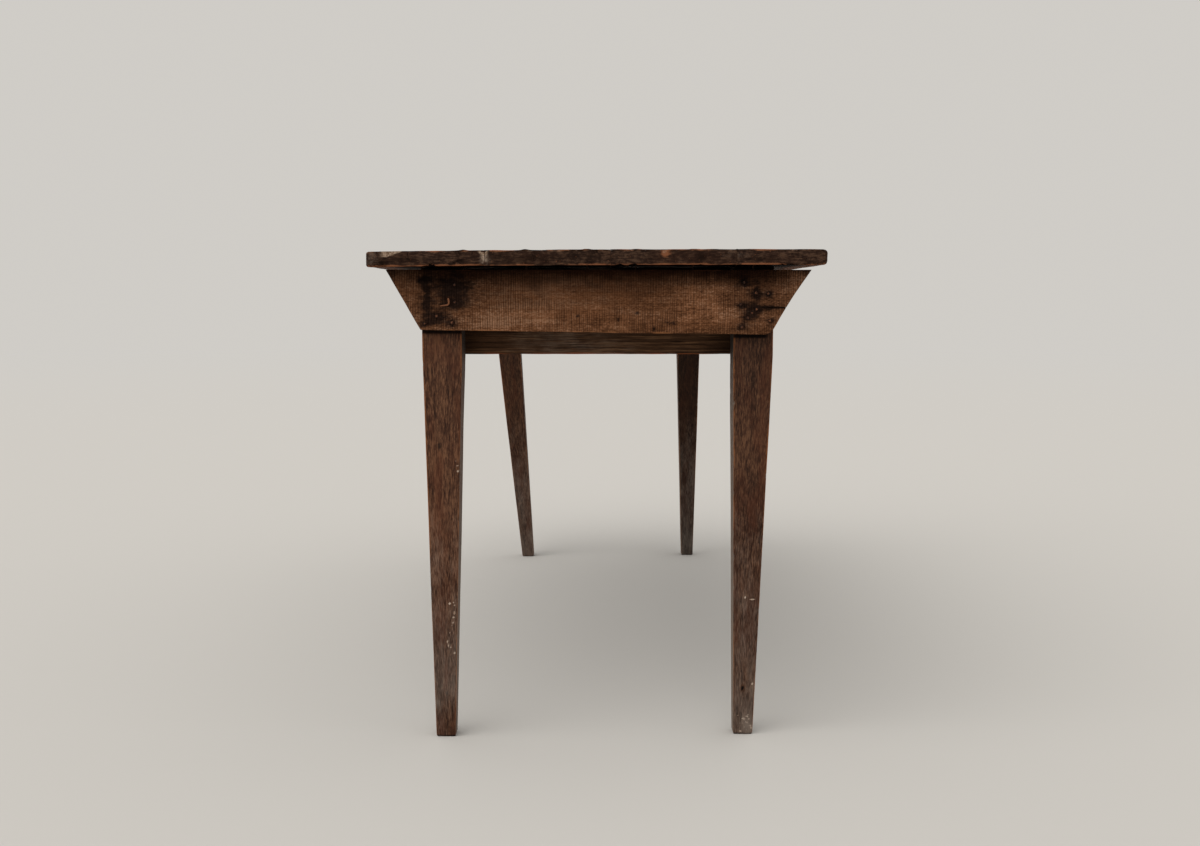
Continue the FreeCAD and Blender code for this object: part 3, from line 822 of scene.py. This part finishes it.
def makeEndBoard(node, nails):
    spots = cornersOf(node)
    turn = np.array((-1, -1, 1) if spots[:, 1].mean() > 0 else (1, 1, 1))
    spots = spots * turn
    low, high = spots.min(0), spots.max(0)
    lowLeft = spots[np.argmin(spots[:, 2] + 0.2 * spots[:, 0])]
    lowRight = spots[np.argmin(spots[:, 2] - 0.2 * spots[:, 0])]
    length, depth, height = high - low
    half = (high - low) / 2
    step, rim = endSet["step"], endSet["rim"]
    crackRow = (endSet["crackHeight"] - lowRight[2]) / (high[2] - lowRight[2]) * height - half[2]
    crackRows = crackRow + endSet["crackHalf"] * np.array(endSet["crackRows"])
    points, faces = boxSkin(
        spreadLines(length, step, rim), spreadLines(depth, step, rim),
        spreadLines(height, step, rim, crackRows),
    )
    inCrack = np.abs(points[:, 2] - crackRow) < endSet["crackHalf"] / 2
    offset = freshOffset()
    edge = arrisDistance(points, half)
    points, outward = roundArris(points, half, wornRadius(rubbing(points, endSet, offset), endSet))
    hollowOut(points, outward, endSet, offset + 7)

    # lower right corner rounded off, then the flare
    corner = np.array([half[0] - endSet["cornerRound"], -half[2] + endSet["cornerRound"]])
    spread = (points[:, [0, 2]] - corner) * (1, -1)
    inCorner = (spread > 0).all(axis=1)[:, None]
    pull = spread.max(axis=1) / np.maximum(np.hypot(spread[:, 0], spread[:, 1]), 1e-9)
    points[:, [0, 2]] = np.where(inCorner, corner + spread * pull[:, None] * (1, -1), points[:, [0, 2]])
    across = (points[:, 0] + half[0]) / length
    climb = (points[:, 2] + half[2]) / height
    bottom = lowLeft[2] + (lowRight[2] - lowLeft[2]) * across
    left = lowLeft[0] + (low[0] - lowLeft[0]) * climb
    right = lowRight[0] + (high[0] - lowRight[0]) * climb
    slant = np.clip((climb - endSet["slantStart"]) / (1 - endSet["slantStart"]), 0, 1)
    right -= endSet["hollowSlant"] * np.sin(np.pi * slant)
    points = np.stack([
        left + (right - left) * across,
        points[:, 1] + (low[1] + high[1]) / 2,
        bottom + (high[2] - bottom) * climb,
    ], axis=1)

    # the split at the right end
    crackGrow = smoothStep(*endSet["crackSpan"], points[:, 0])
    front = outward[:, 1] < -0.3
    points[:, 1] += np.where(inCrack & front, endSet["crackDepth"] * crackGrow, 0)
    crackNear = bell(points[:, 2] - endSet["crackHeight"], endSet["crackReach"])
    points[:, 0] -= endSet["crackBite"] * crackNear * smoothStep(0.8, 1.0, outward[:, 0])

    # iron stain round the nails, rubbed places, and painted shadow of the top's overhang along the upper edge
    layers = blankLayers(points)
    edgeNoise = bumps(points, endSet["wearScale"], offset + 3, 2)
    layers["wear"] = arrisShade(edge, edgeNoise, endSet)
    dents = random.Random(node)
    warpX = endSet["stainWarp"] * bumps(points, endSet["stainScale"], offset + 11, 3)
    warpZ = endSet["stainWarp"] * bumps(points, endSet["stainScale"], offset + 17, 3)

    def warped(amount):
        return points[:, 0] + amount * warpX, points[:, 2] + amount * warpZ

    stain = endSet["crackStain"] * crackGrow * crackNear
    nailX, nailZ = warped(endSet["nailWarp"])
    shift = endSet["nailShift"]
    for lowNail, highNail in looseBoxes(nails):
        nail = (lowNail + highNail) / 2 * turn
        reachX = (nailX - nail[0] - dents.uniform(-shift, shift)) / dents.uniform(*endSet["nailSquash"])
        reachZ = nailZ - nail[2] - dents.uniform(-shift, shift)
        reach = np.hypot(reachX, reachZ)
        stain += dents.uniform(*endSet["nailStain"]) * bell(reach, dents.uniform(*endSet["nailReach"]))
        stain += dents.uniform(*endSet["nailHaze"]) * bell(reach, endSet["hazeReach"])
    for *spot, amount in endSet["smears"]:
        stain += amount * spotShare(*warped(min(1.0, spot[2] / endSet["tightSmear"])), spot)
    layers["stain"] = np.clip(stain, 0, endSet["stainMost"])
    pale = np.zeros(len(points))
    for *spot, amount in endSet["pale"]:
        pale += amount * spotShare(*warped(endSet["paleWarp"]), spot)
    layers["tint"] = endSet["shade"] - endSet["shadeFall"] * climb + endSet["paleTint"] * pale
    # painted shadow cast by the top's overhang, darkest at the upper edge, weaker where the board is paler
    shadowDepth = high[2] - points[:, 2] - endSet["shadowEdgeRough"] * edgeNoise
    dirt = np.interp(shadowDepth, endSet["overhangShadowDepths"], endSet["dirt"])
    layers["dirtAndShade"] = dirt * (1 - endSet["paleShadowCut"] * np.clip(pale, 0, 1))
    layers["grain"] = grainAlong(points - (low + high) / 2, "x", (*endSet["heart"], offset[0] * 0.1))
    points *= turn
    return addPiece(node + "_worn", points, faces, boardWood, layers, node)


for node, nails in endSet["nodes"].items():
    makeEndBoard(node, nails)
print("end boards made")


# top planks with tongue and groove

topSet = {
    "nodes": ("top_plank_1", "top_plank_2", "top_plank_3", "top_plank_4"),
    "tints": (0.22, -0.22, 0.10, -0.12), "hearts": (0.045, 0.070, 0.038, 0.058), "heartDrift": 0.03,
    "widthStep": 0.0034, "lengthStep": 0.010, "thickStep": 0.0019, "rim": 0.0085,
    "arris": 0.0010, "arrisWear": 0.0022, "rubScale": 30, "cornerRounds": (0.0045, 0.0095), "rightWear": 0.0015,
    "nicks": ((1, (8, 0.004, 0.010)), (0, (8, 0.004, 0.009))), "nickShare": 0.6,
    "hollow": 0.0006, "hollowScale": (26, 7, 26), "hollowRise": 0.8, "hollowLeast": 0.00005,
    "seam": 0.0003, "seamRound": 1.5, "seamEnds": (0.4, 0.006, 0.06), "seamWear": 0.2,
    "seamDirt": 0.75, "seamReach": 0.0022,
    "tongue": 0.009, "grooveRoom": 0.0005, "tongueHalf": 0.004, "tongueStop": 0.03,
    "tongueRows": (-1.04, -0.96, 0.96, 1.04),
    "wearReach": 0.0028, "wearShare": 0.45, "wearGain": 0.9, "wearScale": 26,
    "lowWear": 0.38, "lowReach": 0.0032,
    "nailHalo": 0.011, "haloLong": 1.6, "haloStain": (0.6, 1.1),
    "underShade": 0.45, "underLight": 0.5, "frameSide": (0.325, 0.265), "frameEnd": (0.70, 0.75),
    "patchTint": 0.25, "patchScale": (4, 1.5, 1),
    "wedgeAcross": (-0.3270, -0.3120, -0.2800), "wedgeHeights": (0.7405, 0.7395, 0.7505), "wedgeBare": 1.0,
    "wedgeEdge": 0.0015, "wedgeRough": 0.0006,
    "humps": (-0.198, -0.107, -0.016, 0.057, 0.143), "humpHeight": 0.0013, "humpReach": 0.005,
    "humpLong": 0.02, "humpDirt": 0.9,
    "chips": (  # broken from the front end: place across, upper or lower arris, size
        (-0.1685, 1, 0.0090), (0.0990, 1, 0.0075), (-0.3400, 1, 0.0080), (0.3380, 1, 0.0070),
        (-0.0650, 1, 0.0060), (-0.3400, -1, 0.0110), (0.3385, -1, 0.0100), (0.3250, -1, 0.0060),
        (-0.2700, -1, 0.0032),
    ),
    "patches": (  # on the front end: kind, middle, reach and strength
        ("bare", -0.1685, 0.7470, 0.0075, 0.0050, 1.0), ("bare", -0.1660, 0.7370, 0.0060, 0.0065, 0.55),
        ("dust", -0.1660, 0.7380, 0.0070, 0.0080, 0.5), ("dirtAndShade", -0.339, 0.740, 0.004, 0.004, 0.5),
        ("bare", 0.0990, 0.7460, 0.0062, 0.0040, 0.5), ("bare", -0.098, 0.748, 0.006, 0.0015, 0.5),
        ("bare", -0.062, 0.748, 0.008, 0.0015, 0.5), ("wear", 0.1000, 0.7430, 0.0075, 0.0058, 0.9),
        ("dust", -0.335, 0.738, 0.013, 0.012, 0.25), ("dust", 0.190, 0.742, 0.020, 0.008, 0.1),
        ("dust", 0.215, 0.741, 0.010, 0.006, 0.15), ("dirtAndShade", -0.285, 0.736, 0.030, 0.006, 0.5),
        ("dirtAndShade", 0.155, 0.738, 0.014, 0.007, 0.5), ("dirtAndShade", 0.240, 0.736, 0.030, 0.006, 0.4),
        ("dirtAndShade", -0.100, 0.736, 0.050, 0.005, 0.4), ("dirtAndShade", -0.318, 0.732, 0.010, 0.006, 0.6),
    ),
}
plankFaces = []
for node in topSet["nodes"]:
    spots = cornersOf(node)
    spots = spots[spots[:, 2] > topHigh - 0.0002]
    plankFaces.append([spots[:, 0].min(), spots[:, 0].max()])
plankFaces[-1][1] -= topSet["rightWear"]
for first, second in zip(plankFaces[:-1], plankFaces[1:]):  # seams nearly shut
    seamMiddle = (first[1] + second[0]) / 2
    first[1] = seamMiddle - topSet["seam"] / 2
    second[0] = seamMiddle + topSet["seam"] / 2
topNailBoxes = looseBoxes("top_nails")
skinParts = []  # upper faces, for the nails to sit in


def makePlank(number):
    node = topSet["nodes"][number]
    left, right = plankFaces[number]
    joinLeft = number > 0
    joinRight = number < len(plankFaces) - 1
    middle = np.array([(left + right) / 2, 0, (topLow + topHigh) / 2])
    half = np.array([(right - left) / 2, halfLength, (topHigh - topLow) / 2])
    rim = topSet["rim"]
    tongueRows = topSet["tongueHalf"] * np.array(topSet["tongueRows"])
    points, faces = boxSkin(
        spreadLines(2 * half[0], topSet["widthStep"], rim),
        spreadLines(2 * half[1], topSet["lengthStep"], rim),
        spreadLines(2 * half[2], topSet["thickStep"], rim, tongueRows),
    )
    offset = freshOffset()
    dents = random.Random(node)
    edge = arrisDistance(points, half)
    sideOf = np.where(np.abs(points[:, 0]) > half[0] - 1e-6, np.sign(points[:, 0]), 0)
    inner = (sideOf < 0) & joinLeft | (sideOf > 0) & joinRight
    fromEnd = half[1] - np.abs(points[:, 1])
    onTongue = (np.abs(points[:, 2]) < topSet["tongueHalf"]) & (fromEnd > topSet["tongueStop"])

    # edges, nicks, chips and hollows
    rubbed = rubbing(points, topSet, offset)
    radius = wornRadius(rubbed, topSet)
    least, *ends = topSet["seamEnds"]
    seamShare = least + (topSet["seamRound"] - least) * smoothStep(*ends, fromEnd)
    radius = np.where(inner, seamShare * radius, radius)
    for side, cornerRound in zip((-1, 1), topSet["cornerRounds"]):
        outerEnd = side * (points[:, 0] + middle[0]) > halfWidth - rim
        radius += np.where(outerEnd, cornerRound * (0.6 + 0.4 * rubbed), 0)
    points, outward = roundArris(points, half, np.minimum(radius, rim))
    layers = blankLayers(points)
    for longAxis, nicks in topSet["nicks"]:
        layers["bare"] += topSet["nickShare"] * nickEdges(points, outward, half, nicks, longAxis, dents)
    for x, upper, size in topSet["chips"]:
        centre = np.array([x - middle[0], -half[1] - 0.35 * size, upper * (half[2] + 0.5 * size)])
        carve(points, outward, centre, size)
    waves = topSet["hollowRise"] + bumps(points, topSet["hollowScale"], offset + 7, 2)
    scoop = np.maximum(topSet["hollow"] * waves, topSet["hollowLeast"])
    points -= outward * np.where(inner & (np.abs(outward[:, 0]) > 0.5), 0, scoop)[:, None]
    if joinRight:
        points[:, 0] += np.where(onTongue & (sideOf > 0), topSet["tongue"], 0)
    if joinLeft:
        points[:, 0] += np.where(onTongue & (sideOf < 0), topSet["tongue"] + topSet["grooveRoom"], 0)
    points += middle

    # wear on the edges, not along the seams
    edgeNoise = bumps(points, topSet["wearScale"], offset + 3, 2)
    layers["wear"] = arrisShade(edge, edgeNoise, topSet)
    nearSeam = np.minimum(np.abs(points[:, 0] - left), np.abs(points[:, 0] - right)) < rim
    atSide = (points[:, 0] < left + rim) & (not joinLeft) | (points[:, 0] > right - rim) & (not joinRight)
    layers["wear"] *= np.where(nearSeam & ~atSide, topSet["seamWear"], 1)
    lowArris = bell(points[:, 2] - topLow, topSet["lowReach"]) * smoothStep(0.1, 0.5, -outward[:, 1])
    layers["wear"] += topSet["lowWear"] * lowArris * np.clip(0.8 + 0.8 * edgeNoise, 0, 1)
    layers["ends"] = smoothStep(0.6, 0.9, np.abs(outward[:, 1]))

    # stain round the nails, painted shade underneath, dirt in the seams
    for lowNail, highNail in topNailBoxes:
        nail = (lowNail + highNail) / 2
        reach = np.hypot(points[:, 0] - nail[0], (points[:, 1] - nail[1]) / topSet["haloLong"])
        halo = dents.uniform(*topSet["haloStain"]) * bell(reach, topSet["nailHalo"])
        layers["stain"] += np.where(outward[:, 2] > 0.5, halo, 0)
    under = smoothStep(-0.5, -0.9, outward[:, 2])
    inside = smoothStep(*topSet["frameSide"], np.abs(points[:, 0]))
    atEnd = smoothStep(*topSet["frameEnd"], np.abs(points[:, 1]))
    shade = topSet["underShade"] + (1 - topSet["underShade"]) * atEnd
    # painted shade on the underside over the frame, strongest over the ends
    layers["dirtAndShade"] = under * (0.05 + 0.95 * inside * shade)
    # the underside beyond the frame painted lighter in the rubbed colour: painted light
    layers["wear"] += topSet["underLight"] * under * (1 - inside)
    seamGap = np.full(len(points), 1.0)
    for seam, joined in ((left, joinLeft), (right, joinRight)):
        if joined:
            seamGap = np.minimum(seamGap, np.abs(points[:, 0] - seam))
    onTop = smoothStep(0.2, 0.6, outward[:, 2])
    layers["dirtAndShade"] += topSet["seamDirt"] * onTop * bell(seamGap, topSet["seamReach"])
    cloudy = topSet["patchTint"] * bumps(points, topSet["patchScale"], offset + 9, 2)
    layers["tint"] += topSet["tints"][number] * (1 - layers["ends"]) + cloudy

    # the front end: a wedge of bare wood, then patches
    front = faceShare(-outward[:, 1])
    wedgeLine = np.interp(points[:, 0], topSet["wedgeAcross"], topSet["wedgeHeights"])
    aboveLine = points[:, 2] - wedgeLine + topSet["wedgeRough"] * edgeNoise
    wedgeStart, wedgeFull, wedgeStop = topSet["wedgeAcross"]
    wedge = smoothStep(0.0, topSet["wedgeEdge"], aboveLine) * smoothStep(wedgeStart, wedgeFull, points[:, 0])
    layers["bare"] += topSet["wedgeBare"] * wedge * front * (points[:, 0] < wedgeStop)
    for kind, *spot, amount in topSet["patches"]:
        layers[kind] += front * amount * spotShare(points[:, 0], points[:, 2], spot)
    drift = topSet["heartDrift"]
    heart = (dents.uniform(-drift, drift), topSet["hearts"][number], offset[1] * 0.1)
    layers["grain"] = grainAlong(points - middle, "y", heart)

    # sag, and small bumps along the front edge
    points[:, 2] -= topSag(points)
    lift = np.zeros(len(points))
    for x in topSet["humps"]:
        lift += topSet["humpHeight"] * bell(points[:, 0] - x, topSet["humpReach"])
    lift *= bell(points[:, 1] + halfLength, topSet["humpLong"]) * smoothStep(0.3, 0.8, outward[:, 2])
    points[:, 2] = np.minimum(points[:, 2] + lift, topHigh)
    layers["dirtAndShade"] += topSet["humpDirt"] * smoothStep(0.2, 0.7, lift / topSet["humpHeight"])
    skinParts.append(points[outward[:, 2] > 0.9])
    return addPiece(node + "_worn", points, faces, topWood, layers, node)


for number in range(len(plankFaces)):
    makePlank(number)
topSkin = np.concatenate(skinParts)
print("planks made")


# forged nails: hammered head and a tapering shank

nailSet = {
    "sides": 12, "rough": 0.10, "overhang": 0.28, "shankShare": 0.9, "shortShank": 0.021, "bedding": 0.35,
    "rose": ((0.42, 0.92), (0.76, 0.66), (0.97, 0.24), (0.94, -0.1), (0.40, -0.12)),
    "flat": ((0.45, 0.97), (0.82, 0.86), (1.0, 0.45), (0.95, -0.1), (0.40, -0.12)),
    "shank": ((0.36, -0.75), (0.14, -0.98), (0, -1)), "rust": (0.0, 0.3, 0.7, 1.0), "rustReach": 1.1,
    "nails": {  # axis, the way the head looks, kind of head, its height and width
        "front_end_nails": (1, -1, "rose", 0.0022, (0.62, 0.84)),
        "back_end_nails": (1, 1, "rose", 0.0022, (0.62, 0.84)),
        "cross_rail_nails": (1, 0, "rose", 0.0022, (0.8, 1.0)),
        "top_nails": (2, 1, "flat", 0.0012, (0.85, 1.0)),
    },
}


def makeNails(node, axis, facing, head, height, widths):
    wobble = random.Random(node)
    shapes, rubbed = [], []
    for low, high in looseBoxes(node):
        middle = (low + high) / 2
        toFront = facing if facing else -np.sign(middle[axis])
        outward = np.zeros(3)
        outward[axis] = toFront
        half = np.delete(high - low, axis).min() / 2 * wobble.uniform(*widths)
        shank = (high - low)[axis] * nailSet["shankShare"]
        if axis == 2 and abs(middle[0]) > nailSet["overhang"]:
            shank = nailSet["shortShank"]  # nothing to hold under the overhang
        rusty = wobble.choice(nailSet["rust"])
        centre = middle.copy()
        centre[axis] = (high if toFront > 0 else low)[axis] - toFront * height
        if axis == 2:  # bedded in the worn surface
            nearest = np.argmin(((topSkin - middle)[:, :2] ** 2).sum(1))
            centre[2] = min(topSkin[nearest, 2] - nailSet["bedding"] * height, topHigh - height)
        rings = [(0, height)]
        rings += [(share * half, rise * height) for share, rise in nailSet[head]]
        rings += [(share * half, rise * shank) for share, rise in nailSet["shank"]]
        shapes.append(spunMesh(centre, outward, rings, nailSet, wobble))
        for spot in shapes[-1][0]:
            away = np.linalg.norm(np.delete(spot - centre, axis)) / half
            rise = (spot - centre)[axis] * toFront
            rubbed.append(rusty * max(0.0, 1 - nailSet["rustReach"] * away) if rise > 0 else 0.0)
    points, faces = joinShapes(shapes)
    layers = {"rubbed": np.array(rubbed)}
    return addPiece(node + "_forged", points, faces, nailIron, layers, node)


for node, own in nailSet["nails"].items():
    makeNails(node, *own)


# one nail bent over flat on the front end board, its path in shares of the node's box

bentSet = {
    "path": (
        (0.93, 0.6, 0.90), (0.93, 0.09, 0.90), (0.97, 0.045, 0.72), (0.985, 0.04, 0.42), (0.86, 0.04, 0.2),
        (0.6, 0.04, 0.14), (0.3, 0.05, 0.1), (0.05, 0.06, 0.06),
    ),
    "radius": 0.0014, "tip": 0.5, "sides": 8, "steps": 5, "square": 0.12, "aside": (0.3, 0.2, 0.9),
}


def makeBentNail():
    low, high = (np.array(corner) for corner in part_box("bent_nail"))
    path = [low + np.array(share) * (high - low) for share in bentSet["path"]]
    before = [path[0]] + path[:-2]
    after = path[2:] + [path[-1]]
    spine = []
    for first, second, third, fourth in zip(before, path[:-1], path[1:], after):
        for step in range(bentSet["steps"]):
            t = step / bentSet["steps"]
            flow = (third - first) * t + (2 * first - 5 * second + 4 * third - fourth) * t * t
            flow += (3 * second - first - 3 * third + fourth) * t ** 3
            spine.append(second + flow / 2)
    spine.append(path[-1])
    sides = bentSet["sides"]
    points = [spine[0]]
    for number, spot in enumerate(spine):
        ahead = spine[min(number + 1, len(spine) - 1)] - spine[max(number - 1, 0)]
        ahead /= np.linalg.norm(ahead)
        side = np.cross(ahead, bentSet["aside"])
        side /= np.linalg.norm(side)
        up = np.cross(ahead, side)
        reach = bentSet["radius"] * (1 - (1 - bentSet["tip"]) * (number / len(spine)) ** 2)
        for step in range(sides):
            angle = 2 * math.pi * (step + 0.5) / sides
            squared = 1.0 + bentSet["square"] * abs(math.sin(2 * angle))
            points.append(spot + reach * squared * (side * math.cos(angle) + up * math.sin(angle)))
    points.append(spine[-1])
    faces = [face[:1] + face[:0:-1] for face in ringFaces(len(spine), sides)]  # this tube runs inwards
    layers = {"rubbed": np.full(len(points), 1.0)}
    return addPiece("bent_nail_forged", points, faces, nailIron, layers, "bent_nail")


makeBentNail()
print("nails made")


# split pegs with eight sides, their ends rubbed round

pegSet = {
    "sides": 8, "rough": 0.03, "rings": ((0.5, 0.0), (0.86, 0.0002), (0.97, 0.0008), (1.0, 0.0018)),
    "backRound": 0.001, "backShare": 0.9, "endDepth": 0.0005, "endShare": 0.5, "heart": (0.002, 0.003, 0.0),
}


def makePegs():
    wobble = random.Random(5)
    shapes, ends = [], []
    for low, high in looseBoxes("tenon_pegs"):
        middle = (low + high) / 2
        outward = np.array([np.sign(middle[0]), 0, 0])
        half = (high - low)[1] / 2
        reach = (high - low)[0] / 2
        rings = [(0, reach)]
        rings += [(share * half, reach - drop) for share, drop in pegSet["rings"]]
        rings += [(half, -reach + pegSet["backRound"]), (pegSet["backShare"] * half, -reach), (0, -reach)]
        shapes.append(spunMesh(middle, outward, rings, pegSet, wobble))
        rises = [(spot - middle)[0] * outward[0] for spot in shapes[-1][0]]
        ends += [1.0 if rise > reach - pegSet["endDepth"] else 0.0 for rise in rises]
    points, faces = joinShapes(shapes)
    points = np.array(points)
    layers = blankLayers(points)
    layers["ends"] = pegSet["endShare"] * np.array(ends)
    layers["grain"] = grainAlong(points, "x", pegSet["heart"])
    return addPiece("tenon_pegs_split", points, faces, pegWood, layers, "tenon_pegs")


makePegs()
print("pegs made")


# floor, light and camera

stageSet = {
    "floorReach": 40.0, "floorColour": paint(200, 197, 192), "fade": (1.4, 16.0),
    "wallColour": paint(207.7, 204.4, 198.9), "skyColour": (1.0, 0.985, 0.96, 1), "skyStrength": 0.74,
    "sunColour": (1.0, 0.98, 0.95), "sunStrength": 1.5, "sunAngle": 1.2, "sunPlace": (-2.4, -3.0, 4.2),
}


def makeFloor():
    reach = stageSet["floorReach"]
    mesh = bpy.data.meshes.new("paleFloor")
    corners = [(-reach, -reach, 0), (reach, -reach, 0), (reach, reach, 0), (-reach, reach, 0)]
    mesh.from_pydata(corners, [], [(0, 1, 2, 3)])
    floor = bpy.data.objects.new("paleFloor", mesh)
    scene.collection.objects.link(floor)
    material = bpy.data.materials.new("paleFloorPaint")
    newTree(material)
    distance = vectorCalc("LENGTH", addNode("TexCoord").outputs["Object"], output="Value")
    paintCoat = {"Base Color": stageSet["floorColour"], "Roughness": 0.9, "Specular IOR Level": 0.1}
    near = addNode("BsdfPrincipled", paintCoat).outputs[0]
    far = addNode("Emission", {"Color": stageSet["wallColour"], "Strength": 1.0}).outputs[0]
    fade = between(distance, *stageSet["fade"])  # the far floor takes the colour of the sky behind it
    finishTree(addNode("MixShader", {0: fade, 1: near, 2: far}))
    mesh.materials.append(material)


def makeSky():
    world = bpy.data.worlds.new("studioSky")
    scene.world = world
    newTree(world)
    seen = addNode("LightPath").outputs["Is Camera Ray"]
    soft = {"Color": stageSet["skyColour"], "Strength": stageSet["skyStrength"]}
    light = addNode("Background", soft).outputs[0]
    wall = addNode("Background", {"Color": stageSet["wallColour"], "Strength": 1.0}).outputs[0]
    finishTree(addNode("MixShader", {0: seen, 1: light, 2: wall}), "OutputWorld")


def addSun():
    data = bpy.data.lights.new("softSun", "SUN")
    data.energy = stageSet["sunStrength"]
    data.angle = stageSet["sunAngle"]
    data.color = stageSet["sunColour"]
    sun = bpy.data.objects.new("softSun", data)
    sun.location = stageSet["sunPlace"]
    sun.rotation_euler = (-Vector(stageSet["sunPlace"])).to_track_quat("-Z", "Y").to_euler()
    scene.collection.objects.link(sun)


makeFloor()
makeSky()
addSun()

cameraSet = {
    "place": (0.0016, -3.0054, 0.6781), "pitch": 0.0862, "yaw": 0.0009, "lens": 43.45, "sensor": 36.0,
}
cameraData = bpy.data.cameras.new("photoCamera")
cameraData.sensor_fit = "HORIZONTAL"
cameraData.sensor_width = cameraSet["sensor"]
cameraData.lens = cameraSet["lens"]
camera = bpy.data.objects.new("photoCamera", cameraData)
camera.location = cameraSet["place"]
camera.rotation_euler = (math.pi / 2 - cameraSet["pitch"], 0, -cameraSet["yaw"])
scene.collection.objects.link(camera)
scene.camera = camera
scene.view_settings.view_transform = "Standard"
print("stage made")
